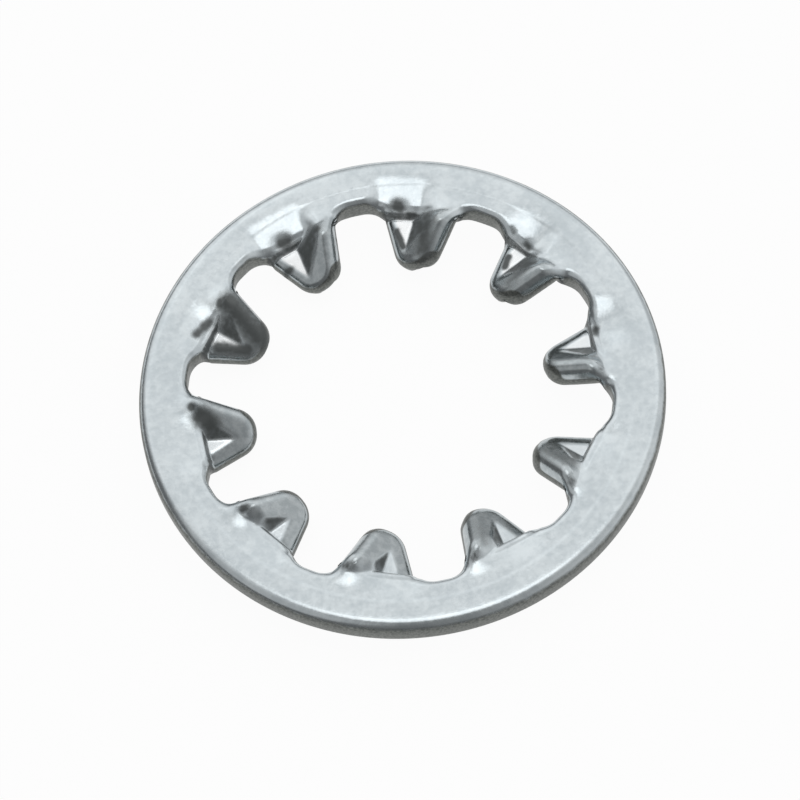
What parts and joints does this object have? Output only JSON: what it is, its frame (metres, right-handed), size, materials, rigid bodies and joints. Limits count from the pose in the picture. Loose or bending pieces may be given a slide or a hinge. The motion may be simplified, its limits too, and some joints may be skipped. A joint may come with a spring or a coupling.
{
  "type": "toothed lock washer",
  "caption": "Flat stamped ring washer with short twisted teeth pointing into its hole; the teeth bite the nut and the work to stop a bolt from loosening. Zinc-plated spring steel.",
  "frame": {"origin": "on the washer's axis, at mid thickness of its flat ring", "axes": "+Z out of the bolt hole on the side where each tooth's clockwise edge stands proud; +X along the middle line of one tooth"},
  "size_m": [0.0176, 0.0176, 0.0019],
  "materials": {
    "zinc_plate": "bright zinc plating, slightly mottled, satin"
  },
  "bodies": {
    "root": {"toothed_lock_washer": "zinc_plate"}
  },
  "joints": []
}
